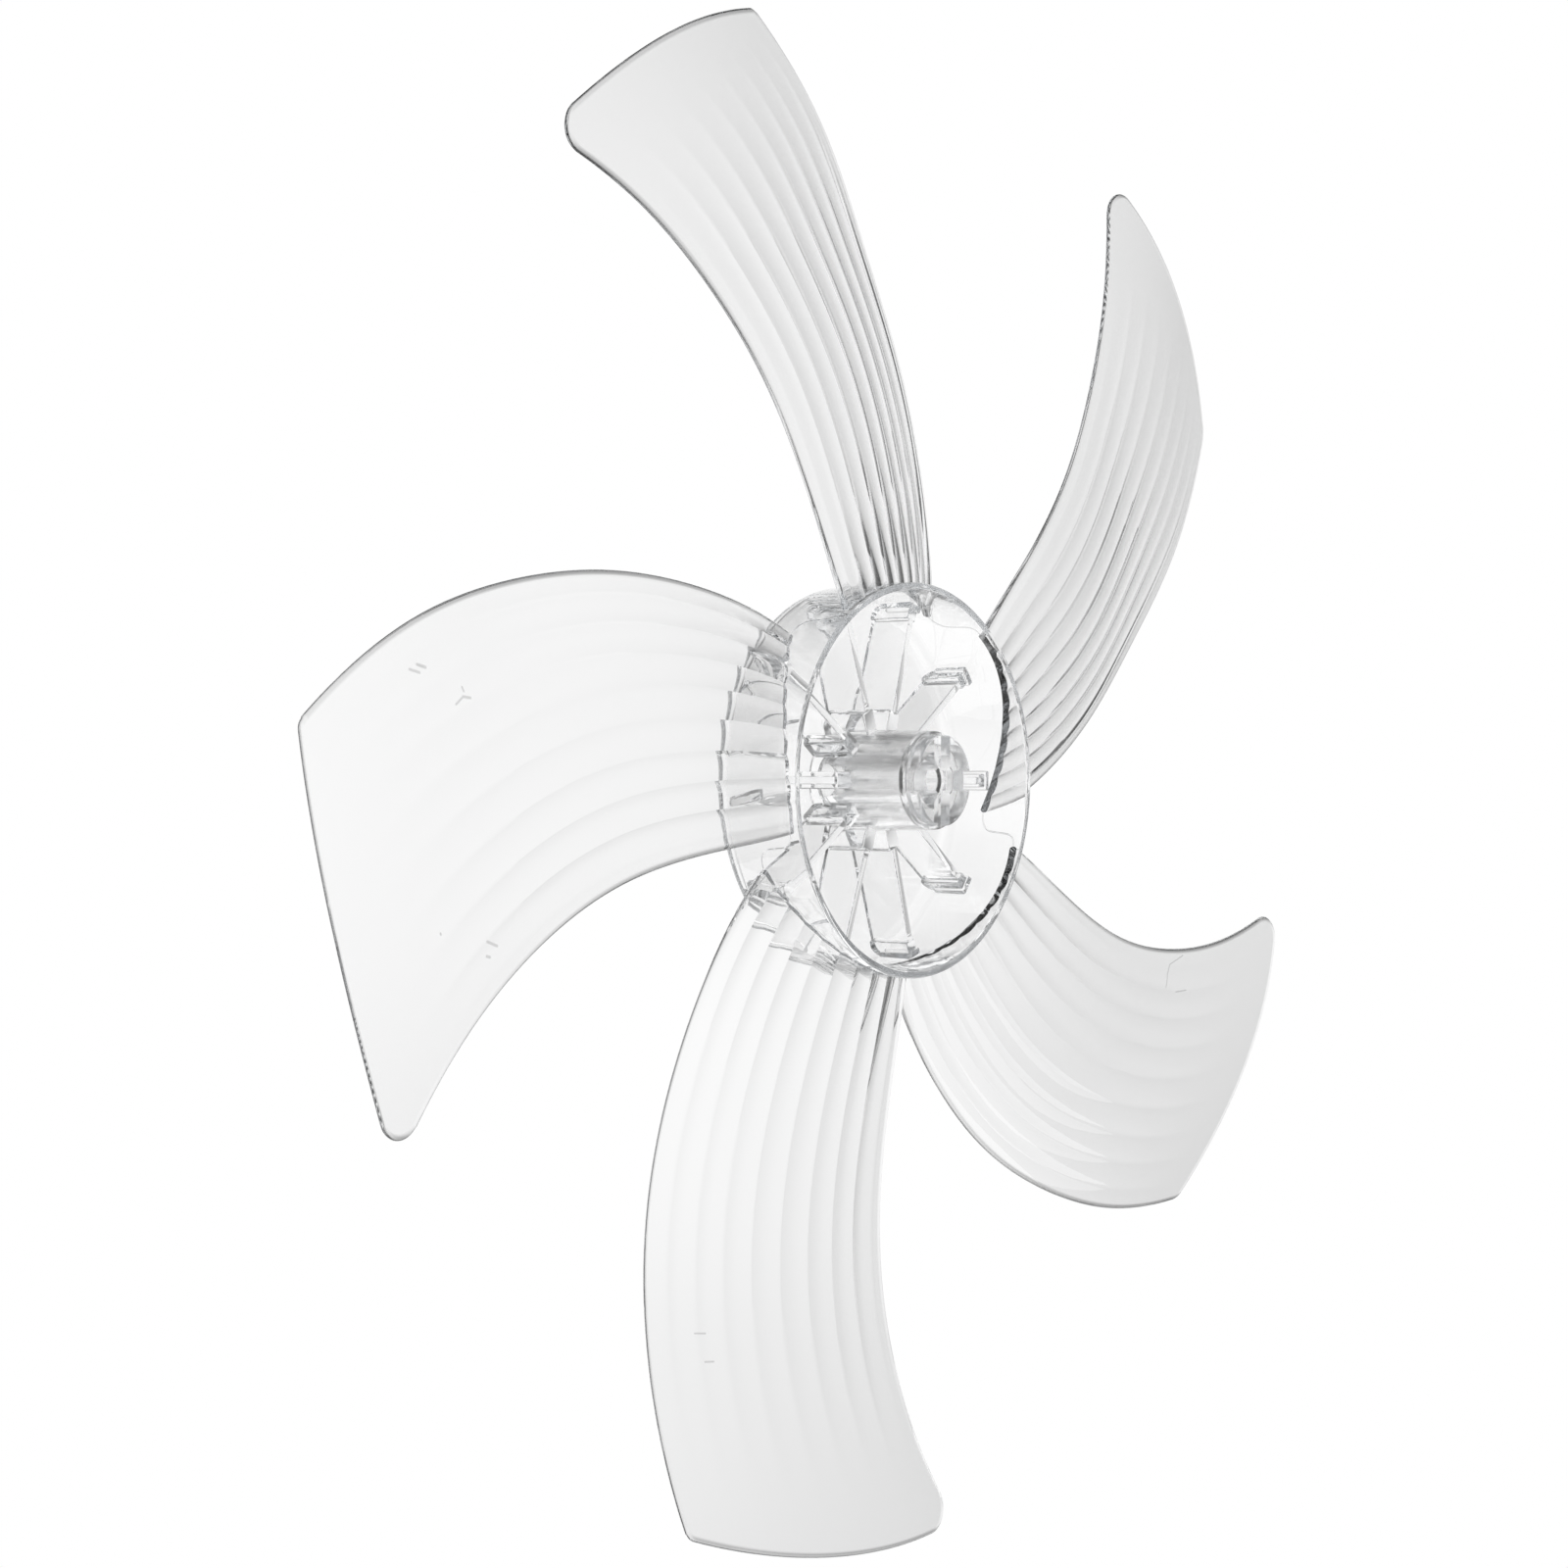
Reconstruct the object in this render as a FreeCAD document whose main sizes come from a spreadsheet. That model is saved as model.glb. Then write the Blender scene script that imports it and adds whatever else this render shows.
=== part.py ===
import FreeCAD, Part
import math
import os
import Sketcher
from FreeCAD import Vector, Placement, Rotation

doc = FreeCAD.newDocument("fan_blade_rotor")

# Frame: Y is the shaft axis, +Y the open (motor) side, Z up, origin on the
# axis in the plane of the cup's open rim. Millimetres and degrees.
sheet = doc.addObject("Spreadsheet::Sheet", "Sizes")
SIZES = [
    # cup hub: radius and height of each turn of the profile
    ("rim_rad", 50.0), ("rim_in_rad", 48.2), ("front_rad", 49.5), ("front_in_rad", 47.4),
    ("face_y", -27.0), ("floor_y", -24.8), ("shoulder_rad", 4.6), ("shoulder_in_rad", 2.8), ("rim_round", 0.7),
    # shaft boss: cored from the front, castellated at the rear end
    ("bore_rad", 4.0), ("core_in_rad", 6.9), ("core_out_rad", 10.7), ("core_top_rad", 9.9), ("core_top_y", 1.5),
    ("crown_y", 7.6), ("crown_rad", 11.6), ("neck_y", 5.2),
    ("boss_step_rad", 12.4), ("boss_step_y", 4.7), ("boss_rad", 13.2),
    ("slot_wide", 5.0), ("slot_floor_y", 4.7), ("slot_top_y", 9.0), ("slot_long", 30.0),
    # ten ribs, each with a foot block at the boss and an end block and flange at the cup wall
    ("rib_angle", 18.0), ("rib_thick", 2.0), ("rib_in_rad", 11.7), ("rib_root_y", -25.7), ("rib_boss_y", -12.0), ("rib_wall_y", -12.9),
    ("rib_out_rad", 48.6), ("rib_low_rad", 46.2), ("rib_low_y", -22.0),
    ("end_wide", 3.6), ("end_in_rad", 43.6), ("end_y", -12.7),
    ("flange_wide", 5.2), ("flange_in_rad", 46.3), ("flange_y", -12.3),
    ("foot_wide", 4.4), ("foot_rad", 18.6), ("foot_y", -12.0),
    # blades
    ("blade_rad", 193.7), ("root_rad", 48.8), ("blade_thick_root", 2.3), ("blade_thick_tip", 1.25), ("root_flare", 40.0),
    ("tip_round_lead", 6.0), ("tip_round_trail", 3.5), ("camber_root", 3.4), ("camber_tip", 4.1), ("camber_skew", -2.1),
    ("flute_root", 0.32), ("flute_deep", 0.40), ("flute_full_rad", 110.0), ("flute_crest", 0.58),
    ("flute_lead_start", 0.03), ("flute_lead_wide", 0.13), ("flute_lead_least", 0.25),
    ("flute_fade_start", 144.0), ("flute_fade_wide", 42.0), ("flute_fade_lag", 10.0),
    ("lead_ang_a", -33.16), ("lead_ang_b", -30.56), ("lead_ang_c", -30.47),
    ("lead_ang_d", -33.25), ("lead_ang_e", -37.54), ("lead_ang_f", -42.88),
    ("trail_ang_a", 27.94), ("trail_ang_b", 17.41), ("trail_ang_c", 8.74),
    ("trail_ang_d", 0.87), ("trail_ang_e", -6.43), ("trail_ang_f", -14.59),
    ("lead_y_a", -3.02), ("lead_y_b", -3.72), ("lead_y_c", -4.71),
    ("lead_y_d", -5.41), ("lead_y_e", -5.33), ("lead_y_f", -5.39),
    ("trail_y_a", -14.51), ("trail_y_b", -16.84), ("trail_y_c", -18.88),
    ("trail_y_d", -19.83), ("trail_y_e", -17.53), ("trail_y_f", -15.52),
]
for row, (alias, value) in enumerate(SIZES, 1):
    sheet.set("A%d" % row, alias)
    sheet.set("B%d" % row, repr(value))
    sheet.setAlias("B%d" % row, alias)
doc.recompute()


def size(alias):
    return float(sheet.get(alias))


def origin_item(body, role):
    return [f for f in body.Origin.OriginFeatures if f.Role == role][0]


def outline(body, name, role, corners, turn=None):
    """Closed straight-sided sketch. A corner is two terms, each a sheet alias,
    "-alias", "alias/2" or "0"."""
    sk = body.newObject("Sketcher::SketchObject", name)
    sk.AttachmentSupport = [(origin_item(body, role), "")]
    sk.MapMode = "FlatFace"
    if turn:
        sk.AttachmentOffset = Placement(Vector(0, 0, 0), Rotation(Vector(1, 0, 0), size(turn)))
        sk.setExpression(".AttachmentOffset.Rotation.Angle", "Sizes.%s * 1 deg" % turn)

    def read(term):
        if term == "0":
            return 0.0, None
        sign = "-" if term.startswith("-") else ""
        alias = term.lstrip("-")
        part = 0.5 if alias.endswith("/2") else 1.0
        alias = alias.replace("/2", "")
        worth = size(alias) * part * (-1.0 if sign else 1.0)
        return worth, "%sSizes.%s * %s mm" % (sign, alias, part)

    terms = [(read(a), read(b)) for a, b in corners]
    pts = [Vector(a[0], b[0], 0) for a, b in terms]
    n = len(pts)
    for i in range(n):
        sk.addGeometry(Part.LineSegment(pts[i], pts[(i + 1) % n]), False)
    for i in range(n):
        sk.addConstraint(Sketcher.Constraint("Coincident", i, 2, (i + 1) % n, 1))
    for i, pair in enumerate(terms):
        for kind, axis, (worth, formula) in (("DistanceX", -2, pair[0]), ("DistanceY", -1, pair[1])):
            if formula is None:
                sk.addConstraint(Sketcher.Constraint("PointOnObject", i, 1, axis))
                continue
            k = sk.addConstraint(Sketcher.Constraint(kind, -1, 1, i, 1, worth))
            label = "c%d%s" % (i, kind[-1].lower())
            sk.renameConstraint(k, label)
            sk.setExpression("Constraints." + label, formula)
    return sk


def middle_pad(body, name, sketch, thick):
    pad = body.newObject("PartDesign::Pad", name)
    pad.Profile = sketch
    pad.SideType = "Symmetric"
    pad.Length = size(thick)
    pad.setExpression("Length", "Sizes.%s * 1 mm" % thick)
    return pad


def round_about(body, name, feature, count):
    pat = body.newObject("PartDesign::PolarPattern", name)
    pat.Originals = feature
    pat.Axis = (origin_item(body, "Y_Axis"), [""])
    pat.Angle = 360
    pat.Occurrences = count
    body.Tip = pat
    return pat


def ring_edges(shape, spots):
    """Names of the circular edges at the given (radius, height) pairs."""
    names = []
    for rad, high in spots:
        for i, e in enumerate(shape.Edges, 1):
            if not isinstance(e.Curve, Part.Circle):
                continue
            if abs(e.Curve.Radius - rad) < 0.01 and abs(e.Curve.Center.y - high) < 0.01:
                names.append("Edge%d" % i)
    return names


# ------------------------------------------------------------- moulded hub
hub = doc.addObject("PartDesign::Body", "Hub")
hub.Label = "hub_moulding"

cup_sketch = outline(hub, "CupSection", "XY_Plane", [
    ("bore_rad", "face_y"), ("core_in_rad", "face_y"), ("core_in_rad", "core_top_y"), ("core_top_rad", "core_top_y"),
    ("core_out_rad", "face_y"), ("front_rad", "face_y"), ("rim_rad", "0"), ("rim_in_rad", "0"),
    ("front_in_rad", "floor_y"), ("boss_rad", "floor_y"), ("boss_step_rad", "boss_step_y"), ("crown_rad", "neck_y"),
    ("crown_rad", "crown_y"), ("bore_rad", "crown_y"),
])
cup = hub.newObject("PartDesign::Revolution", "Cup")
cup.Profile = cup_sketch
cup.ReferenceAxis = (cup_sketch, ["V_Axis"])
cup.Angle = 360
doc.recompute()


def hub_round(name, base, spots, alias):
    names = ring_edges(base.Shape, spots)
    fil = hub.newObject("PartDesign::Fillet", name)
    fil.Base = (base, names)
    fil.Radius = size(alias)
    fil.setExpression("Radius", "Sizes.%s * 1 mm" % alias)
    doc.recompute()
    return fil


# rounded shoulder outside and inside, softened rim
tip = hub_round("Shoulder", cup, [(size("front_rad"), size("face_y"))], "shoulder_rad")
tip = hub_round("ShoulderInside", tip, [(size("front_in_rad"), size("floor_y"))], "shoulder_in_rad")
tip = hub_round("RimRound", tip, [(size("rim_rad"), 0.0), (size("rim_in_rad"), 0.0)], "rim_round")

# ten ribs from the boss to the cup wall
def upright(name, start, top_in, top_out, thick):
    return middle_pad(hub, name, outline(hub, name + "Sketch", "YZ_Plane", [
        ("rib_root_y", start), (top_in, start), (top_out, "rib_out_rad"),
        ("rib_low_y", "rib_out_rad"), ("rib_root_y", "rib_low_rad")], "rib_angle"), thick)


rib = upright("Rib", "rib_in_rad", "rib_boss_y", "rib_wall_y", "rib_thick")
foot = middle_pad(hub, "RibFoot", outline(hub, "RibFootSketch", "YZ_Plane", [
    ("rib_root_y", "rib_in_rad"), ("foot_y", "rib_in_rad"), ("foot_y", "foot_rad"), ("rib_root_y", "foot_rad")],
    "rib_angle"), "foot_wide")
end = upright("RibEnd", "end_in_rad", "end_y", "end_y", "end_wide")
flange = middle_pad(hub, "RibFlange", outline(hub, "RibFlangeSketch", "YZ_Plane", [
    ("rib_low_y", "flange_in_rad"), ("flange_y", "flange_in_rad"), ("flange_y", "rib_out_rad"), ("rib_low_y", "rib_out_rad")],
    "rib_angle"), "flange_wide")
doc.recompute()
round_about(hub, "Ribs", [rib, foot, end, flange], 10)
doc.recompute()

# four slots across the boss end for the shaft's cross pin
before = hub.Shape.Volume
slot = hub.newObject("PartDesign::Pocket", "PinSlot")
slot.Profile = outline(hub, "PinSlotSketch", "YZ_Plane", [
    ("slot_floor_y", "-slot_wide/2"), ("slot_top_y", "-slot_wide/2"),
    ("slot_top_y", "slot_wide/2"), ("slot_floor_y", "slot_wide/2"),
])
slot.SideType = "Symmetric"
slot.Length = size("slot_long")
slot.setExpression("Length", "Sizes.slot_long * 1 mm")
doc.recompute()
round_about(hub, "PinSlots", [slot], 4)
doc.recompute()
print("hub volume", before, hub.Shape.Volume, "valid", hub.Shape.isValid(), "solids", len(hub.Shape.Solids))


# ------------------------------------------------------------------ blades
def natural_spline(xs, ys):
    """Cubic through the knots with straight ends; runs straight on outside."""
    n = len(xs)
    a = [0.0] * n
    b = [1.0] * n
    c = [0.0] * n
    d = [0.0] * n
    for i in range(1, n - 1):
        left, right = xs[i] - xs[i - 1], xs[i + 1] - xs[i]
        a[i], b[i], c[i] = left, 2.0 * (left + right), right
        d[i] = 6.0 * ((ys[i + 1] - ys[i]) / right - (ys[i] - ys[i - 1]) / left)
    for i in range(1, n):
        w = a[i] / b[i - 1]
        b[i] -= w * c[i - 1]
        d[i] -= w * d[i - 1]
    bend = [0.0] * n
    bend[-1] = d[-1] / b[-1]
    for i in range(n - 2, -1, -1):
        bend[i] = (d[i] - c[i] * bend[i + 1]) / b[i]

    def slope(i, at_end):
        gap = xs[i + 1] - xs[i]
        base = (ys[i + 1] - ys[i]) / gap
        return base + gap * (bend[i] + 2.0 * bend[i + 1]) / 6.0 if at_end \
            else base - gap * (2.0 * bend[i] + bend[i + 1]) / 6.0

    def at(x):
        if x <= xs[0]:
            return ys[0] + slope(0, False) * (x - xs[0])
        if x >= xs[-1]:
            return ys[-1] + slope(n - 2, True) * (x - xs[-1])
        i = max(k for k in range(n - 1) if xs[k] <= x)
        gap = xs[i + 1] - xs[i]
        p, q = (xs[i + 1] - x) / gap, (x - xs[i]) / gap
        return p * ys[i] + q * ys[i + 1] + ((p ** 3 - p) * bend[i] + (q ** 3 - q) * bend[i + 1]) * gap * gap / 6.0

    return at


span = [size("rim_rad") + (size("blade_rad") - size("rim_rad")) * k / 5.0 for k in range(6)]
lead_ang = natural_spline(span, [size("lead_ang_" + k) for k in "abcdef"])
trail_ang = natural_spline(span, [size("trail_ang_" + k) for k in "abcdef"])
lead_y = natural_spline(span, [size("lead_y_" + k) for k in "abcdef"])
trail_y = natural_spline(span, [size("trail_y_" + k) for k in "abcdef"])


def share(rad):
    return (rad - size("rim_rad")) / (size("blade_rad") - size("rim_rad"))


def thickness(rad):
    w = min(max((rad - size("rim_rad")) / size("root_flare"), 0.0), 1.0)
    return size("blade_thick_tip") + (size("blade_thick_root") - size("blade_thick_tip")) * (1.0 - w) ** 2


def middle_height(rad, across):
    bow = size("camber_root") + (size("camber_tip") - size("camber_root")) * share(rad)
    base = lead_y(rad) + (trail_y(rad) - lead_y(rad)) * across
    return base + 4.0 * across * (1.0 - across) * (bow + size("camber_skew") * (across - 0.5))


def flute_depth(rad, across):
    """Grows from the root and the leading edge, then fades out; it reaches farther near the trailing edge."""
    w = (rad - size("flute_fade_start") - size("flute_fade_lag") * across) / size("flute_fade_wide")
    w = min(max(w, 0.0), 1.0)
    g = (rad - size("rim_rad")) / (size("flute_full_rad") - size("rim_rad"))
    deep = size("flute_root") + (size("flute_deep") - size("flute_root")) * min(max(g, 0.0), 1.0)
    h = min(max((across - size("flute_lead_start")) / size("flute_lead_wide"), 0.0), 1.0)
    least = size("flute_lead_least")
    deep *= least + (1.0 - least) * h * h * (3.0 - 2.0 * h)
    return deep * (1.0 - w * w * (3.0 - 2.0 * w))


def spot(rad, across, high):
    ang = math.radians(lead_ang(rad) + (trail_ang(rad) - lead_ang(rad)) * across)
    return Vector(-rad * math.sin(ang), high, rad * math.cos(ang))


# ten flutes with round crests and sharp valleys
CUSPS = [-0.055, 0.047, 0.143, 0.249, 0.361, 0.480, 0.599, 0.714, 0.822, 0.928, 1.045]
ROWS = [44.0, 52.0, 62.0, 75.0, 90.0, 105.0, 118.0, 130.0, 140.0, 150.0, 160.0, 171.0, 184.0, 199.0]
STEPS = [0.0, 0.12, 0.25, 0.37, 0.48, 0.58, 0.67, 0.76, 0.84, 0.92, 1.0]


def flute(t):
    crest = size("flute_crest")
    return 1.0 - ((crest - t) / crest if t < crest else (t - crest) / (1.0 - crest)) ** 2


# rear skin: one wire of ten crests per radius, lofted outward
rear_wires = []
for rad in ROWS:
    crests = []
    for k in range(len(CUSPS) - 1):
        line = []
        for t in STEPS:
            across = CUSPS[k] + (CUSPS[k + 1] - CUSPS[k]) * t
            high = middle_height(rad, across) + 0.5 * thickness(rad) - flute_depth(rad, across) * (1.0 - flute(t))
            line.append(spot(rad, across, high))
        crest = Part.BSplineCurve()
        crest.interpolate(line)
        crests.append(crest.toShape())
    rear_wires.append(Part.Wire(crests))
rear_skin = Part.makeLoft(rear_wires, False, False)
print("rear skin", rear_skin.ShapeType, len(rear_skin.Faces), rear_skin.isValid())

# front skin: smooth
grid = []
for rad in ROWS:
    grid.append([spot(rad, -0.07 + 1.14 * j / 12.0, middle_height(rad, -0.07 + 1.14 * j / 12.0) - 0.5 * thickness(rad))
                 for j in range(13)])
surf = Part.BSplineSurface()
surf.interpolate(grid)
front_face = surf.toShape()

# plan outline of one blade, drawn out along the axis
FLOOR, ROOF = -45.0, 25.0
reach = size("blade_rad")
root = size("root_rad")
rads = [root + (reach - root) * k / 16.0 for k in range(17)]
lead_curve = Part.BSplineCurve()
lead_curve.interpolate([spot(r, 0.0, FLOOR) for r in rads])
trail_curve = Part.BSplineCurve()
trail_curve.interpolate([spot(r, 1.0, FLOOR) for r in rads])
tip_arc = Part.Arc(spot(reach, 0.0, FLOOR), spot(reach, 0.5, FLOOR), spot(reach, 1.0, FLOOR))
root_arc = Part.Arc(spot(root, 0.0, FLOOR), spot(root, 0.5, FLOOR), spot(root, 1.0, FLOOR))
wire = Part.Wire(Part.__sortEdges__([c.toShape() for c in (lead_curve, tip_arc, trail_curve, root_arc)]))
prism = Part.Face(wire).extrude(Vector(0, ROOF - FLOOR, 0))


def upright_edge(shape, point):
    best = None
    for e in shape.Edges:
        if abs(e.Length - (ROOF - FLOOR)) > 0.01:
            continue
        c = e.CenterOfMass
        gap = math.hypot(c.x - point.x, c.z - point.z)
        if best is None or gap < best[0]:
            best = (gap, e)
    return best[1]


prism = prism.makeFillet(size("tip_round_lead"), [upright_edge(prism, spot(reach, 0.0, 0.0))])
prism = prism.makeFillet(size("tip_round_trail"), [upright_edge(prism, spot(reach, 1.0, 0.0))])
if prism.ShapeType != "Solid":
    prism = prism.Solids[0]

pieces, _ = prism.generalFuse([rear_skin, front_face], 0.0)
solids = sorted(pieces.Solids, key=lambda s: s.CenterOfMass.y)
print("pieces", [(round(s.CenterOfMass.y, 2), round(s.Volume)) for s in solids])
blade_shape = solids[1]

blades = []
for k in range(5):
    blade = doc.addObject("Part::Feature", "Blade%d" % (k + 1))
    blade.Label = "blade_%d" % (k + 1)
    blade.Shape = blade_shape.copy()
    blade.Placement = Placement(Vector(0, 0, 0), Rotation(Vector(0, 1, 0), -72.0 * k))
    blades.append(blade)
doc.recompute()

# --------------------------------------------------------------- one piece
whole = doc.addObject("Part::MultiFuse", "FanBlade")
whole.Label = "fan_blade"
whole.Shapes = [hub] + blades
whole.Refine = False
doc.recompute()

for obj in doc.Objects:
    if "Invalid" in obj.State or "Error" in obj.State:
        raise RuntimeError("%s: %s" % (obj.Name, obj.State))
for obj in (hub, whole):
    if obj.Shape.isNull() or not obj.Shape.isValid():
        raise RuntimeError("bad shape in " + obj.Label)
if len(whole.Shape.Solids) != 1:
    raise RuntimeError("expected one solid, found %d" % len(whole.Shape.Solids))
box = whole.Shape.BoundBox
print("volume", whole.Shape.Volume, "box", box.XMin, box.XMax, box.YMin, box.YMax, box.ZMin, box.ZMax)

os.makedirs("parts", exist_ok=True)
whole.Shape.Solids[0].exportStep("parts/fan_blade.step")
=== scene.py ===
import math
import bmesh
import bpy
import numpy as np
from mathutils import Matrix, Vector


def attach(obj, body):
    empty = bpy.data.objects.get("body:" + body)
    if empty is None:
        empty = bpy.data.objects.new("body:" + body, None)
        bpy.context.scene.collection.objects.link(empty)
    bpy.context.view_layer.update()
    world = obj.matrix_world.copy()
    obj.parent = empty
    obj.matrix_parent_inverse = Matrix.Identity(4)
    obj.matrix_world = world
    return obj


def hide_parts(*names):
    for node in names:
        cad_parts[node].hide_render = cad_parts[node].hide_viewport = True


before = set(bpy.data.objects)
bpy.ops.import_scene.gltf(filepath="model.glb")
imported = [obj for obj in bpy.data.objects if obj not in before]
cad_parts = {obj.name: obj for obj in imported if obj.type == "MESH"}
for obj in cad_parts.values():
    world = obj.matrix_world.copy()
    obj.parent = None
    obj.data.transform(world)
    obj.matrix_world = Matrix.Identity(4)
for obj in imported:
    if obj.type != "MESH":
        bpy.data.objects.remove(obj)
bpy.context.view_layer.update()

scene = bpy.context.scene
MM = 0.001

# ------------------------------------------------------------------ blades
RIM, TIP = 50.0, 193.7
ROOT_IN = 48.9
KNOTS = np.linspace(RIM, TIP, 6)


def natural_spline(xs, ys):
    xs = np.asarray(xs, float)
    ys = np.asarray(ys, float)
    n = len(xs)
    gap = np.diff(xs)
    A = np.eye(n)
    d = np.zeros(n)
    for i in range(1, n - 1):
        A[i, i - 1], A[i, i], A[i, i + 1] = gap[i - 1], 2 * (gap[i - 1] + gap[i]), gap[i]
        d[i] = 6 * ((ys[i + 1] - ys[i]) / gap[i] - (ys[i] - ys[i - 1]) / gap[i - 1])
    m = np.linalg.solve(A, d)

    def at(x):
        x = np.asarray(x, float)
        i = np.clip(np.searchsorted(xs, x) - 1, 0, n - 2)
        h = gap[i]
        p, q = (xs[i + 1] - x) / h, (x - xs[i]) / h
        y = p * ys[i] + q * ys[i + 1] + ((p ** 3 - p) * m[i] + (q ** 3 - q) * m[i + 1]) * h * h / 6
        s0 = (ys[1] - ys[0]) / gap[0] - gap[0] * (2 * m[0] + m[1]) / 6
        return np.where(x < xs[0], ys[0] + s0 * (x - xs[0]), y)

    return at


lead_ang = natural_spline(KNOTS, [-33.16, -30.56, -30.47, -33.25, -37.54, -42.88])
trail_ang = natural_spline(KNOTS, [27.94, 17.41, 8.74, 0.87, -6.43, -14.59])
lead_y = natural_spline(KNOTS, [-3.02, -3.72, -4.71, -5.41, -5.33, -5.39])
trail_y = natural_spline(KNOTS, [-14.51, -16.84, -18.88, -19.83, -17.53, -15.52])
CUSPS = np.array([-0.055, 0.047, 0.143, 0.249, 0.361, 0.480, 0.599, 0.714, 0.822, 0.928, 1.045])
CREST = 0.58         # where each flute is highest, as a share of its width
EDGE = 0.8           # crown of the rounded blade edge


def share(r):
    return (r - RIM) / (TIP - RIM)


def thickness(r):
    return 1.25 + 1.05 * (1 - np.clip((r - RIM) / 40.0, 0, 1)) ** 2


def middle_height(r, s):
    bow = 3.4 + 0.7 * share(r)
    return lead_y(r) + (trail_y(r) - lead_y(r)) * s + 4 * s * (1 - s) * (bow - 2.1 * (s - 0.5))


def flute(r, s):
    """Depth of the fluted rear skin below its crests: round crests, sharp valleys."""
    w = np.clip((r - 128.0 - 14.0 * s) / 50.0, 0, 1)
    h = np.clip((s - 0.03) / 0.13, 0, 1)
    deep = (0.36 + 0.26 * (1 - np.clip((r - 50.0) / 45.0, 0, 1)) ** 2) * (1 - w * w * (3 - 2 * w))
    g = np.clip((s - 0.55) / 0.3, 0, 1) * np.clip((r - 60.0) / 40.0, 0, 1)
    deep = deep * (0.25 + 0.75 * h * h * (3 - 2 * h)) * (1 - 0.25 * g)
    k = np.clip(np.searchsorted(CUSPS, s, side="right") - 1, 0, len(CUSPS) - 2)
    t = np.clip((s - CUSPS[k]) / (CUSPS[k + 1] - CUSPS[k]), 0, 1)
    fall = np.where(t < CREST, (CREST - t) / CREST, (t - CREST) / (1 - CREST))
    return -deep * fall ** 2


def corner(edge_ang, rad, side):
    """Rounded tip corner in plan: angle of its centre and the radius where it starts."""
    r = np.linspace(150.0, TIP, 3000)
    a = np.radians(edge_ang(r))
    line = np.stack([-r * np.sin(a), r * np.cos(a)], -1)
    tang = np.gradient(line, axis=0)
    tang /= np.linalg.norm(tang, axis=1)[:, None]
    inside = np.stack([tang[:, 1], -tang[:, 0]], -1)
    around = np.stack([-np.cos(a), -np.sin(a)], -1) * side
    inside *= np.sign(np.sum(inside * around, 1))[:, None]
    n = int(np.argmin(np.abs(np.linalg.norm(line + inside * rad, axis=1) - (TIP - rad))))
    c = line[n] + inside[n] * rad
    start = line[n] + inside[n] * EDGE
    return math.degrees(math.atan2(-c[0], c[1])), float(np.linalg.norm(start))


LEAD_ROUND, TRAIL_ROUND = 6.0, 3.5
lead_mid, lead_start = corner(lead_ang, LEAD_ROUND, 1)
trail_mid, trail_start = corner(trail_ang, TRAIL_ROUND, -1)


def corner_swing(r, rad):
    c = TIP - rad
    return np.degrees(np.arccos(np.clip((r * r + c * c - (rad - EDGE) ** 2) / (2 * r * c), -1, 1)))


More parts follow.
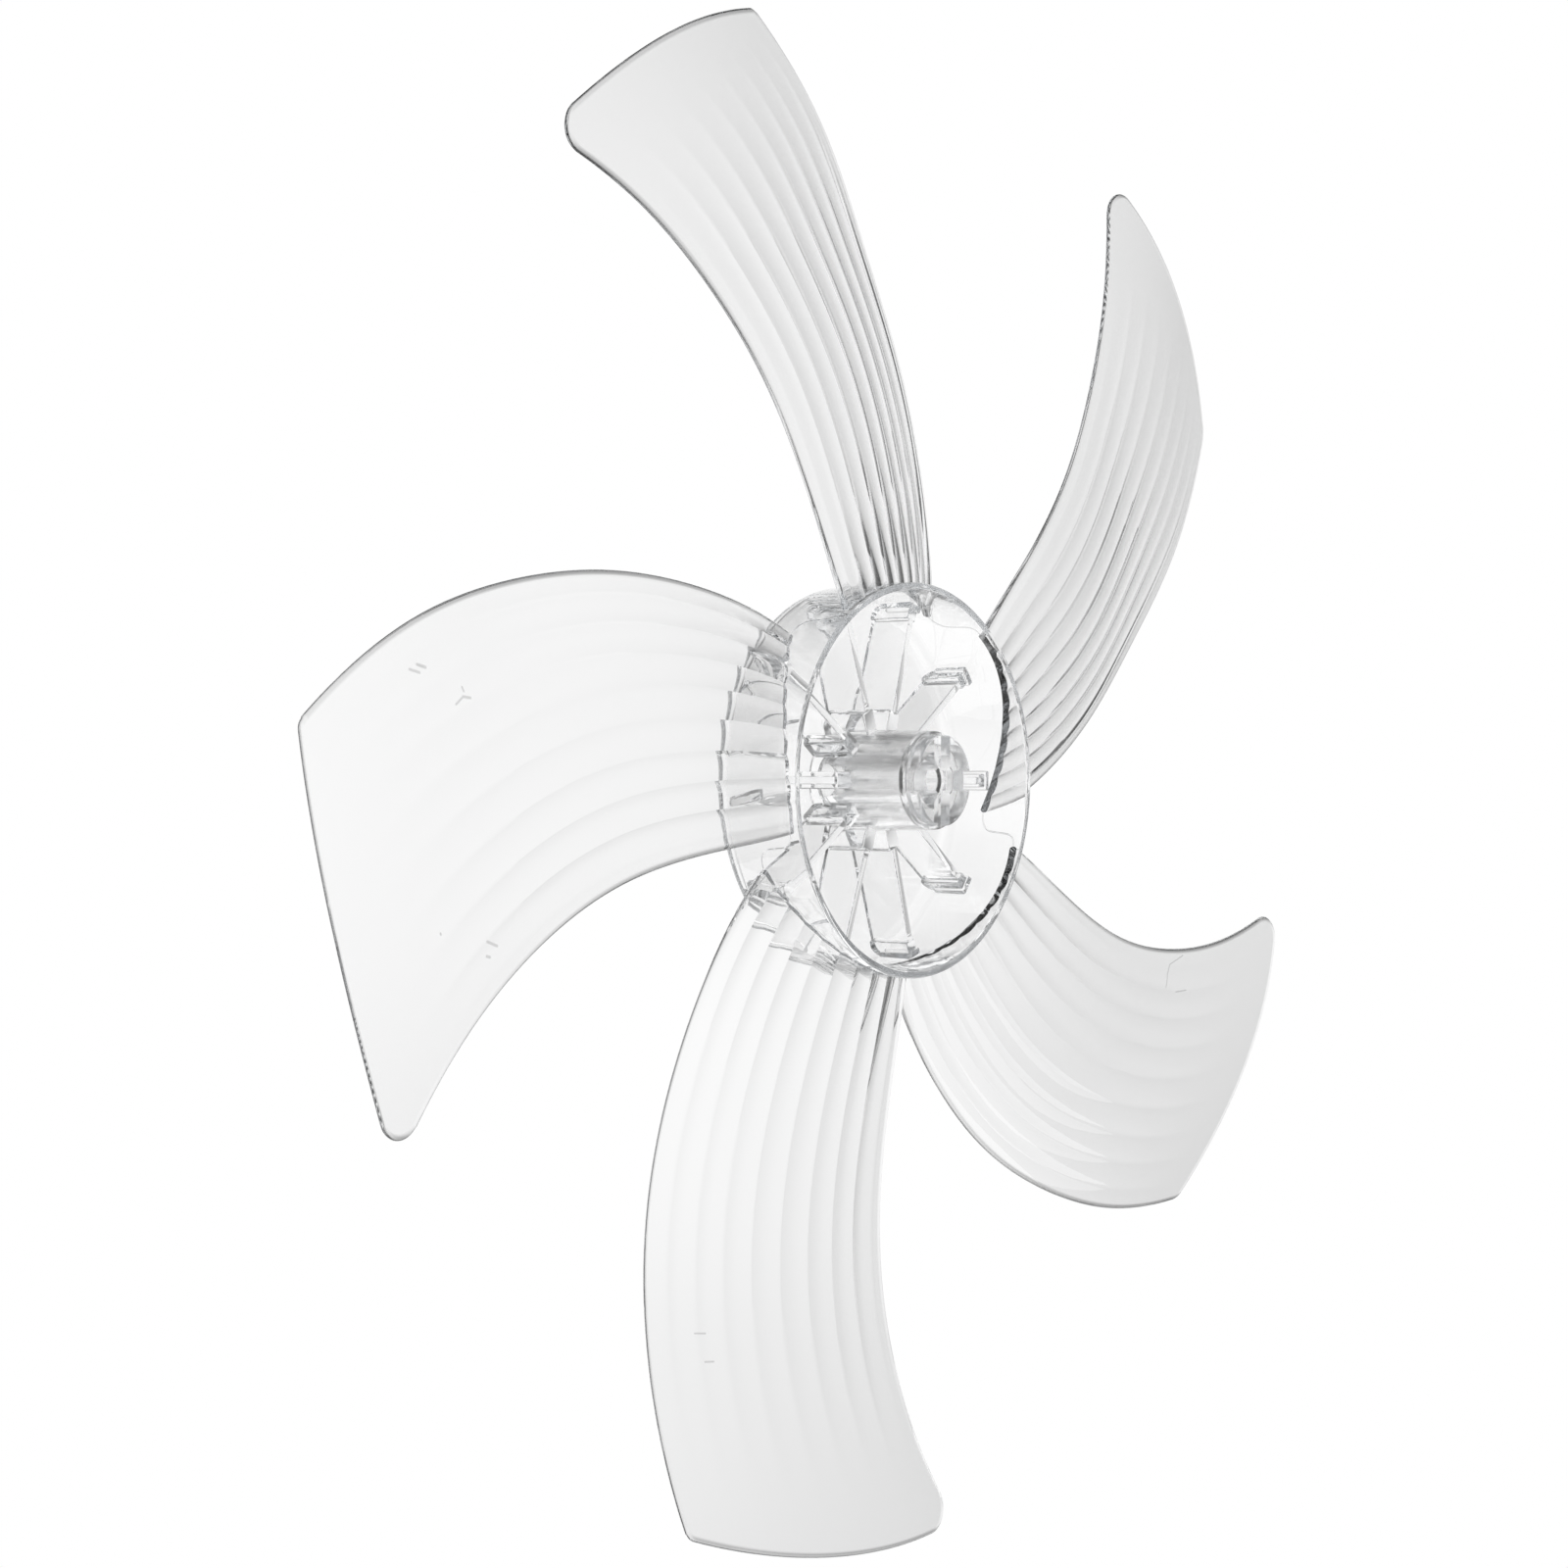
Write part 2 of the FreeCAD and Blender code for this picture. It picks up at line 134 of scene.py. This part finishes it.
def blade_mesh(turn):
    """One blade as points and quads, turned about the shaft axis."""
    low = min(lead_start, trail_start)
    body = np.linspace(ROOT_IN, low, 44)
    bend = low + (TIP - EDGE - low) * np.sin(np.linspace(0, math.pi / 2, 19)[1:])
    rows = np.concatenate([body, bend])
    cols = []
    for k in range(len(CUSPS) - 1):
        a, b = CUSPS[k], CUSPS[k + 1]
        for t in (0.0, 0.08, 0.19, 0.32, 0.45, 0.58, 0.70, 0.82, 0.93):
            s = a + (b - a) * t
            if 0.0 < s < 1.0:
                cols.append(s)
    cols = np.array(sorted([0.0, 0.009, 0.991, 1.0] + cols))
    nr, nc = len(rows), len(cols)
    R, V = np.meshgrid(rows, cols, indexing="ij")
    chord = np.radians(trail_ang(R) - lead_ang(R)) * R
    wide = trail_ang(R) - lead_ang(R)
    lo = np.where(R > lead_start, (lead_mid - corner_swing(R, LEAD_ROUND) - lead_ang(R)) / wide, EDGE / chord)
    hi = np.where(R > trail_start, (trail_mid + corner_swing(R, TRAIL_ROUND) - lead_ang(R)) / wide, 1 - EDGE / chord)
    S = lo + (hi - lo) * V
    ang = np.radians(lead_ang(R) + (trail_ang(R) - lead_ang(R)) * S + turn)
    mid = middle_height(R, S)
    half = 0.5 * thickness(R)
    X, Z = -R * np.sin(ang), R * np.cos(ang)
    rear = np.stack([X, mid + half + flute(R, V), Z], -1)
    front = np.stack([X, mid - half, Z], -1)
    pts = [rear.reshape(-1, 3), front.reshape(-1, 3)]
    faces = []

    def vid(side, i, j):
        return side * nr * nc + i * nc + j

    for i in range(nr - 1):
        for j in range(nc - 1):
            faces.append((vid(0, i, j), vid(0, i, j + 1), vid(0, i + 1, j + 1), vid(0, i + 1, j)))
            faces.append((vid(1, i, j), vid(1, i + 1, j), vid(1, i + 1, j + 1), vid(1, i, j + 1)))
    # rounded edge: leading side, tip, trailing side
    loop = [(i, 0) for i in range(nr)] + [(nr - 1, j) for j in range(1, nc)] + [(i, nc - 1) for i in range(nr - 2, -1, -1)]
    plan = np.array([[X[i, j], Z[i, j]] for i, j in loop])
    tang = np.gradient(plan, axis=0)
    tang /= np.linalg.norm(tang, axis=1)[:, None] + 1e-9
    out = np.stack([-tang[:, 1], tang[:, 0]], -1)
    if np.mean(np.sum(out * (plan - plan.mean(0)), 1)) < 0:
        out = -out
    steps = np.linspace(0, math.pi, 9)[1:-1]
    base = 2 * nr * nc
    ring = np.zeros((len(loop), len(steps), 3))
    for n, (i, j) in enumerate(loop):
        top, low = rear[i, j], front[i, j]
        for m, f in enumerate(steps):
            c = math.cos(f)
            w = 0.5 + 0.5 * c
            p = low + (top - low) * w
            ring[n, m] = (p[0] + out[n, 0] * EDGE * math.sin(f), p[1], p[2] + out[n, 1] * EDGE * math.sin(f))
    pts.append(ring.reshape(-1, 3))

    def strip(n, m):
        i, j = loop[n]
        if m < 0:
            return vid(0, i, j)
        if m >= len(steps):
            return vid(1, i, j)
        return base + n * len(steps) + m

    for n in range(len(loop) - 1):
        for m in range(-1, len(steps)):
            faces.append((strip(n, m), strip(n + 1, m), strip(n + 1, m + 1), strip(n, m + 1)))
    # root end, buried in the cup wall
    last = len(loop) - 1
    left = [strip(0, m) for m in range(0, len(steps))]
    right = [strip(last, m) for m in range(0, len(steps))]
    cap = [vid(0, 0, j) for j in range(nc)] + right + [vid(1, 0, j) for j in range(nc - 1, -1, -1)] + left[::-1]
    faces.append(tuple(cap[::-1]))
    # painted shade: the rounded edge ring and a strip of rear skin along it get a darkening weight, strongest where
    # the edge faces up or down
    level = 0.88 * np.abs(out[:, 1]) ** 3.5
    lead, tip, trail = level[:nr], level[nr - 1:nr - 1 + nc], level[:nr - 2 + nc:-1]
    trail = np.concatenate([trail, np.full(nr - len(trail), tip[-1])])
    near = lambda d: np.clip(1.2 - d / 0.6, 0, 1)
    skin = np.maximum(lead[:, None] * near(V * chord), trail[:, None] * near((1 - V) * chord))
    skin = np.maximum(skin, tip[None, :] * near(TIP - EDGE - R))
    rim = np.outer(level, [1.0, 1.0, 1.0, 0.7, 0.3, 0.0, 0.0])
    rim = np.concatenate([skin.ravel(), np.zeros(nr * nc), rim.ravel()])
    return np.concatenate(pts) * MM, faces, rim


def make_object(name, pts, faces, rim=None):
    me = bpy.data.meshes.new(name)
    me.from_pydata([tuple(p) for p in pts], [], [tuple(f) for f in faces])
    me.update()
    # painted edge shade per point, zero on pieces that carry none
    layer = me.attributes.new("rim", "FLOAT", "POINT")
    layer.data.foreach_set("value", np.zeros(len(pts)) if rim is None else rim)
    ob = bpy.data.objects.new(name, me)
    scene.collection.objects.link(ob)
    return ob


def outward(ob):
    bm = bmesh.new()
    bm.from_mesh(ob.data)
    bmesh.ops.recalc_face_normals(bm, faces=bm.faces)
    bm.to_mesh(ob.data)
    bm.free()
    return ob


# --------------------------------------------------------------------- hub
def rounded(corners, steps=7):
    """Closed section with each corner (r, y, round) drawn as an arc."""
    n = len(corners)
    out = []
    for i in range(n):
        p = np.array(corners[i][:2], float)
        rad = corners[i][2]
        if rad <= 0:
            out.append(p)
            continue
        a = np.array(corners[i - 1][:2], float) - p
        b = np.array(corners[(i + 1) % n][:2], float) - p
        a /= np.linalg.norm(a)
        b /= np.linalg.norm(b)
        half = 0.5 * math.acos(np.clip(a @ b, -1, 1))
        reach = rad / math.tan(half)
        mid = (a + b) / np.linalg.norm(a + b)
        c = p + mid * rad / math.sin(half)
        s, e = p + a * reach - c, p + b * reach - c
        t0, t1 = math.atan2(s[1], s[0]), math.atan2(e[1], e[0])
        d = (t1 - t0 + math.pi) % (2 * math.pi) - math.pi
        for k in range(steps + 1):
            t = t0 + d * k / steps
            out.append(c + rad * np.array([math.cos(t), math.sin(t)]))
    return np.array(out)


FACE, FLOOR = -27.0, -24.8
section = rounded([
    (4.0, FACE, 0.3), (6.9, FACE, 0.3), (6.9, 1.5, 0.3), (9.9, 1.5, 0.3), (10.7, FACE, 0.3),
    (49.5, FACE, 4.6), (50.0, 0.0, 0.7), (48.2, 0.0, 0.7), (47.4, FLOOR, 2.8),
    (13.2, FLOOR, 1.0), (12.4, 4.7, 0.3), (11.6, 5.2, 0.2), (11.6, 7.6, 0.6), (4.0, 7.6, 0.4)])
SEG = 240
pts, faces = [], []
ns = len(section)
for a in np.linspace(0, 2 * math.pi, SEG, endpoint=False):
    for r, y in section:
        pts.append((-r * math.sin(a), y, r * math.cos(a)))
for i in range(SEG):
    for j in range(ns):
        k, l = (i + 1) % SEG, (j + 1) % ns
        faces.append((i * ns + j, k * ns + j, k * ns + l, i * ns + l))
rotor = outward(make_object("rotor", np.array(pts) * MM, faces))


def plate(name, corners, thick, turn, soft=0.25):
    """Upright plate through the axis: (y, r) outline, thick across."""
    a = math.radians(turn)
    e, t = np.array([-math.sin(a), 0, math.cos(a)]), np.array([math.cos(a), 0, math.sin(a)])
    n = len(corners)
    P = []
    for side in (-0.5, 0.5):
        for y, r in corners:
            P.append(e * r + np.array([0, y, 0]) + t * side * thick)
    F = [tuple(range(n)), tuple(range(2 * n - 1, n - 1, -1))]
    for i in range(n):
        F.append((i, (i + 1) % n, n + (i + 1) % n, n + i))
    ob = outward(make_object(name, np.array(P) * MM, F))
    if soft:
        bev = ob.modifiers.new("soft", "BEVEL")
        bev.width = soft * MM
        bev.segments = 3
        bev.limit_method = "ANGLE"
    return ob


def wall_rad(y):
    return 50.0 + 0.5 * y / 27.0


def ridge(name, path, turn):
    """Thin raised mould line on the outside of the cup: (angle, y) points."""
    path = np.array(path, float)
    seg = np.concatenate([[0], np.cumsum(np.hypot(np.diff(path[:, 0]) * 0.87, np.diff(path[:, 1])))])
    u = np.linspace(0, seg[-1], 40)
    # smooth through the points
    al = np.radians(natural_spline(seg, path[:, 0])(u) + turn)
    yy = natural_spline(seg, path[:, 1])(u)
    P, F = [], []
    for n in range(len(u)):
        m0, m1 = max(n - 1, 0), min(n + 1, len(u) - 1)
        er = np.array([-math.sin(al[n]), 0, math.cos(al[n])])
        et = np.array([-math.cos(al[n]), 0, -math.sin(al[n])])
        d = et * (al[m1] - al[m0]) * 50.0 + np.array([0, yy[m1] - yy[m0], 0])
        d /= np.linalg.norm(d)
        side = np.cross(er, d)
        c = er * wall_rad(yy[n]) + np.array([0, yy[n], 0])
        for a, b in ((-0.26, -0.35), (-0.20, 0.0), (-0.07, 0.11), (0.07, 0.11), (0.20, 0.0), (0.26, -0.35)):
            P.append(c + side * a + er * b)
    for n in range(len(u) - 1):
        for k in range(6):
            F.append((n * 6 + k, n * 6 + (k + 1) % 6, (n + 1) * 6 + (k + 1) % 6, (n + 1) * 6 + k))
    F.append(tuple(range(6)))
    F.append(tuple((len(u) - 1) * 6 + k for k in range(5, -1, -1)))
    return outward(make_object(name, np.array(P) * MM, F))


adds, cuts = [], []
OUT, LOW = 48.6, (-22.0, 48.6)
for k in range(10):
    turn = 18 + 36 * k
    adds.append(plate("rib_%d" % k, [(-25.7, 11.7), (-12.0, 11.7), (-12.9, OUT), LOW, (-25.7, 46.2)], 2.0, turn))
    adds.append(plate("end_%d" % k, [(-25.7, 43.6), (-12.7, 43.6), (-12.7, OUT), LOW, (-25.7, 46.2)], 3.6, turn, 0.4))
    adds.append(plate("flange_%d" % k, [(-22.0, 46.3), (-12.3, 46.3), (-12.3, OUT), (-22.0, OUT)], 5.2, turn, 0.4))
    adds.append(plate("foot_%d" % k, [(-25.7, 11.7), (-12.0, 11.7), (-12.0, 18.6), (-25.7, 18.6)], 4.4, turn, 0.6))
for k in range(5):
    adds.append(outward(make_object("blade_%d" % k, *blade_mesh(72.0 * k))))
    adds.append(ridge("mould_line_%d" % k, [
        (27.0, -14.3), (31.0, -14.0), (33.4, -12.6), (34.3, -10.0), (34.7, -6.5), (35.6, -4.2), (37.6, -3.3), (40.0, -3.1)], 72.0 * k))
for turn in (0, 90):
    cuts.append(plate("slot_%d" % turn, [(4.7, -15.0), (4.7, 15.0), (9.0, 15.0), (9.0, -15.0)], 5.0, turn, 0.0))


def settle(ob):
    """Bake an object's modifiers into its mesh."""
    dg = bpy.context.evaluated_depsgraph_get()
    me = bpy.data.meshes.new_from_object(ob.evaluated_get(dg))
    old = ob.data
    ob.modifiers.clear()
    ob.data = me
    bpy.data.meshes.remove(old)


def combine(base, others, how):
    for o in others:
        mod = base.modifiers.new("b", "BOOLEAN")
        mod.operation = how
        mod.solver = "MANIFOLD"
        mod.object = o
    bpy.context.view_layer.update()
    settle(base)
    for o in others:
        me = o.data
        bpy.data.objects.remove(o)
        bpy.data.meshes.remove(me)


bpy.context.view_layer.update()
combine(rotor, adds, "UNION")
combine(rotor, cuts, "DIFFERENCE")
for p in rotor.data.polygons:
    p.use_smooth = True
rotor.data.set_sharp_from_angle(angle=math.radians(16))
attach(rotor, "root")
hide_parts("fan_blade")
rotor.data.calc_loop_triangles()
print("rotor triangles", len(rotor.data.loop_triangles))
rims = np.zeros(len(rotor.data.vertices))
rotor.data.attributes["rim"].data.foreach_get("value", rims)
print("rim points", int((rims > 0.5).sum()), "of", len(rims))

# ---------------------------------------------------------------- material
mat = bpy.data.materials.new("clear_plastic")
mat.use_nodes = True
nt = mat.node_tree
nt.nodes.clear()


def node(kind, **sockets):
    n = nt.nodes.new(kind)
    for key, value in sockets.items():
        n.inputs[key].default_value = value
    return n


def math_node(op, a, b=None, clamp=False):
    n = nt.nodes.new("ShaderNodeMath")
    n.operation = op
    n.use_clamp = clamp
    for i, v in enumerate((a, b)):
        if v is None:
            continue
        if isinstance(v, (int, float)):
            n.inputs[i].default_value = v
        else:
            nt.links.new(v, n.inputs[i])
    return n.outputs[0]


def ramp(value, lo, hi, out_lo, out_hi, smooth=True):
    n = nt.nodes.new("ShaderNodeMapRange")
    n.interpolation_type = "SMOOTHSTEP" if smooth else "LINEAR"
    nt.links.new(value, n.inputs["Value"])
    for key, v in (("From Min", lo), ("From Max", hi), ("To Min", out_lo), ("To Max", out_hi)):
        n.inputs[key].default_value = v
    return n.outputs["Result"]


out = node("ShaderNodeOutputMaterial")
bsdf = node("ShaderNodeBsdfPrincipled")
nt.links.new(bsdf.outputs["BSDF"], out.inputs["Surface"])
bsdf.inputs["IOR"].default_value = 1.57
where = nt.nodes.new("ShaderNodeTexCoord").outputs["Object"]
split = nt.nodes.new("ShaderNodeSeparateXYZ")
nt.links.new(where, split.inputs[0])
radius = math_node("SQRT", math_node("ADD", math_node("MULTIPLY", split.outputs["X"], split.outputs["X"]),
                                      math_node("MULTIPLY", split.outputs["Z"], split.outputs["Z"])))
# painted shade: blade edges are darkened in the base colour, most where they face up or down
rim = nt.nodes.new("ShaderNodeAttribute")
rim.attribute_name = "rim"
edge = rim.outputs["Fac"]
# short scuffs on the rear skins: ends in mm and width
SCUFFS = [
    ((163.0, -14.3, 23.3), (160.5, -14.0, 22.7), 0.5), ((160.6, -14.4, 24.4), (158.6, -14.2, 23.9), 0.6),
    ((151.6, -11.8, 16.1), (149.2, -12.1, 17.8), 0.4), ((149.2, -12.1, 17.8), (147.1, -12.0, 17.6), 0.5),
    ((149.1, -12.7, 19.9), (148.8, -12.4, 19.0), 0.4), ((149.4, -4.4, -34.7), (146.6, -4.4, -35.7), 0.5),
    ((149.7, -4.4, -37.8), (148.8, -4.4, -38.0), 0.5), ((163.3, -4.5, -32.4), (163.2, -4.5, -32.6), 0.4),
    ((69.8, -14.2, -131.2), (67.1, -13.4, -131.5), 0.35), ((67.3, -13.2, -138.2), (65.0, -12.6, -138.4), 0.35),
    ((-125.9, -4.6, -59.1), (-126.3, -4.6, -55.4), 0.3), ((-126.3, -4.6, -55.4), (-127.8, -4.6, -52.7), 0.35),
    ((-127.8, -4.6, -52.7), (-134.9, -4.7, -50.5), 0.3), ((-131.3, -4.6, -60.8), (-136.7, -4.5, -60.6), 0.3)]


def vector_node(op, a, b):
    n = nt.nodes.new("ShaderNodeVectorMath")
    n.operation = op
    for i, v in enumerate((a, b)):
        if isinstance(v, tuple):
            n.inputs[i].default_value = v
        else:
            nt.links.new(v, n.inputs[i])
    return n


flat = vector_node("MULTIPLY", where, (1.0, 0.35, 1.0)).outputs["Vector"]
scuff = None
for a, b, wide in SCUFFS:
    a, b = (np.array(v) * MM * (1.0, 0.35, 1.0) for v in (a, b))
    run = b - a
    off = vector_node("SUBTRACT", flat, tuple(a)).outputs["Vector"]
    along = vector_node("DOT_PRODUCT", off, tuple(run / (run @ run))).outputs["Value"]
    foot = nt.nodes.new("ShaderNodeVectorMath")
    foot.operation = "SCALE"
    foot.inputs[0].default_value = tuple(run)
    nt.links.new(math_node("ADD", along, 0.0, True), foot.inputs["Scale"])
    gap = vector_node("DISTANCE", off, foot.outputs["Vector"]).outputs["Value"]
    mark = ramp(gap, 0.3 * wide * MM, wide * MM, 1.0, 0.0)
    scuff = mark if scuff is None else math_node("MAXIMUM", scuff, mark)
tone = nt.nodes.new("ShaderNodeCombineColor")
# base colour: painted edge shade times the scuff marks
shade = math_node("MULTIPLY", ramp(edge, 0.0, 1.0, 1.0, 0.13, False), ramp(scuff, 0.0, 1.0, 1.0, 0.55, False))
for k in range(3):
    nt.links.new(shade, tone.inputs[k])
nt.links.new(tone.outputs[0], bsdf.inputs["Base Color"])
bsdf.inputs["Transmission Weight"].default_value = 1.0
# the thick boss is hazy from its middle to its castellated end
haze = math_node("MULTIPLY", ramp(radius, 0.0133, 0.0139, 1.0, 0.0), ramp(split.outputs["Y"], -0.0185, -0.0165, 0.0, 1.0))
grain = node("ShaderNodeTexNoise", Scale=900.0, Detail=3.0)
nt.links.new(where, grain.inputs["Vector"])
cloud = node("ShaderNodeTexNoise", Scale=26.0, Detail=4.0, Roughness=0.6)
nt.links.new(where, cloud.inputs["Vector"])
gloss = ramp(cloud.outputs["Fac"], 0.40, 0.70, 0.006, 0.025)
hazy = ramp(grain.outputs["Fac"], 0.3, 0.7, 0.07, 0.12)
rough = math_node("ADD", math_node("MULTIPLY", gloss, math_node("SUBTRACT", 1.0, haze)), math_node("MULTIPLY", hazy, haze))
nt.links.new(rough, bsdf.inputs["Roughness"])
bump = node("ShaderNodeBump", Strength=0.10, Distance=0.0004)
nt.links.new(cloud.outputs["Fac"], bump.inputs["Height"])
nt.links.new(bump.outputs["Normal"], bsdf.inputs["Normal"])
vol = nt.nodes.new("ShaderNodeVolumeAbsorption")
vol.inputs["Color"].default_value = (0.925, 0.93, 0.935, 1)
vol.inputs["Density"].default_value = 35.0
nt.links.new(vol.outputs["Volume"], out.inputs["Volume"])
rotor.data.materials.clear()
rotor.data.materials.append(mat)

# ------------------------------------------------------------- stage, light
bpy.ops.mesh.primitive_circle_add(vertices=96, radius=0.75, fill_type="NGON", location=(0, 0, -0.5))
floor = bpy.context.object
floor.name = "floor"
fm = bpy.data.materials.new("pale_floor")
fm.use_nodes = True
fb = fm.node_tree.nodes["Principled BSDF"]
fb.inputs["Base Color"].default_value = (0.90, 0.90, 0.90, 1)
fb.inputs["Roughness"].default_value = 0.9
fb.inputs["Specular IOR Level"].default_value = 0.1
fb.inputs["Emission Color"].default_value = (1, 1, 1, 1)
fb.inputs["Emission Strength"].default_value = 0.75
floor.data.materials.append(fm)

# Studio walls: white behind and to one side, a dark flag on the other side,
# dimmer overhead and low down. The open background itself is plain white.
world = bpy.data.worlds.new("studio")
scene.world = world
world.use_nodes = True
wt = world.node_tree
wt.nodes.clear()


def wn(kind):
    return wt.nodes.new(kind)


def wmath(op, a, b=None):
    n = wn("ShaderNodeMath")
    n.operation = op
    for i, v in enumerate((a, b)):
        if v is None:
            continue
        if isinstance(v, (int, float)):
            n.inputs[i].default_value = v
        else:
            wt.links.new(v, n.inputs[i])
    return n.outputs[0]


def wdot(vec, axis):
    n = wn("ShaderNodeVectorMath")
    n.operation = "DOT_PRODUCT"
    wt.links.new(vec, n.inputs[0])
    n.inputs[1].default_value = axis
    return n.outputs["Value"]


def wramp(value, stops):
    n = wn("ShaderNodeValToRGB")
    n.color_ramp.interpolation = "CARDINAL"
    els = n.color_ramp.elements
    while len(els) < len(stops):
        els.new(0.5)
    for el, (pos, v) in zip(els, sorted(stops)):
        el.position = pos
        el.color = (v, v, v, 1)
    wt.links.new(value, n.inputs["Fac"])
    return n.outputs["Color"]


direction = wn("ShaderNodeTexCoord").outputs["Generated"]
ahead = wdot(direction, (-0.777, -0.630, 0.0))
aside = wdot(direction, (-0.630, 0.777, 0.0))
up_z = wdot(direction, (0.0, 0.0, 1.0))
turn_deg = wmath("MULTIPLY", wmath("ARCTAN2", aside, ahead), 180.0 / math.pi)
rise_deg = wmath("MULTIPLY", wmath("ARCSINE", up_z), 180.0 / math.pi)
AROUND = [(-180, 0.82), (-150, 0.84), (-110, 0.95), (-60, 0.98), (-15, 0.97), (-7, 0.95), (0, 0.92), (7, 0.855), (15, 0.785), (25, 0.67),
          (38, 0.42), (52, 0.12), (98, 0.10), (114, 0.45), (130, 0.76), (150, 0.82), (180, 0.82)]
RISE = [(-90, 0.78), (-70, 0.66), (-55, 0.42), (-45, 0.30), (-32, 0.42), (-24, 0.66), (-16, 0.82), (-10, 0.895), (-5, 0.945), (0, 0.965), (5, 0.96), (9, 0.935),
        (13, 0.90), (18, 0.86), (24, 0.72), (32, 0.44), (45, 0.30), (55, 0.42), (70, 0.70), (90, 0.85)]
around = wramp(wmath("ADD", wmath("MULTIPLY", turn_deg, 1 / 360.0), 0.5), [(a / 360.0 + 0.5, v) for a, v in AROUND])
rise = wramp(wmath("ADD", wmath("MULTIPLY", rise_deg, 1 / 180.0), 0.5), [(a / 180.0 + 0.5, v) for a, v in RISE])
steep = wmath("MULTIPLY", wmath("SUBTRACT", wmath("ABSOLUTE", rise_deg), 24.0), 1 / 18.0)
steep = wmath("MINIMUM", wmath("MAXIMUM", steep, 0.0), 1.0)
around = wmath("ADD", wmath("MULTIPLY", around, wmath("SUBTRACT", 1.0, steep)), wmath("MULTIPLY", steep, 0.70))
walls = wmath("MULTIPLY", wmath("MULTIPLY", around, rise), 1.12)
studio = wn("ShaderNodeBackground")
wt.links.new(walls, studio.inputs["Strength"])
plain = wn("ShaderNodeBackground")
plain.inputs["Color"].default_value = (1, 1, 1, 1)
plain.inputs["Strength"].default_value = 1.0
studio.inputs["Color"].default_value = (1, 1, 1, 1)
pick = wn("ShaderNodeMixShader")
wt.links.new(wn("ShaderNodeLightPath").outputs["Is Camera Ray"], pick.inputs["Fac"])
wt.links.new(studio.outputs[0], pick.inputs[1])
wt.links.new(plain.outputs[0], pick.inputs[2])
wt.links.new(pick.outputs[0], wn("ShaderNodeOutputWorld").inputs["Surface"])

scene.view_settings.view_transform = "Standard"
scene.view_settings.look = "None"
scene.cycles.max_bounces = 64
scene.cycles.transmission_bounces = 64
scene.cycles.transparent_max_bounces = 16
scene.cycles.glossy_bounces = 64
scene.cycles.caustics_refractive = True
scene.cycles.caustics_reflective = True

# ------------------------------------------------------------------ camera
cam_data = bpy.data.cameras.new("camera")
cam = bpy.data.objects.new("camera", cam_data)
scene.collection.objects.link(cam)
cam_data.sensor_fit = "HORIZONTAL"
cam_data.sensor_width = 36.0
cam_data.lens = 2972.6 / 1600.0 * 36.0
cam_data.clip_start = 0.01
cam_data.clip_end = 100.0
right = Vector((-0.62955433, 0.77695244, 0.00250036))
up = Vector((5.42240034e-04, -2.77877624e-03, 9.99995992e-01))
back = Vector((0.77695628, 0.62955316, 0.0013281))
cam.matrix_world = Matrix((
    (right.x, up.x, back.x, 0.59305), (right.y, up.y, back.y, 0.4364), (right.z, up.z, back.z, 0.0), (0, 0, 0, 1)))
scene.camera = cam
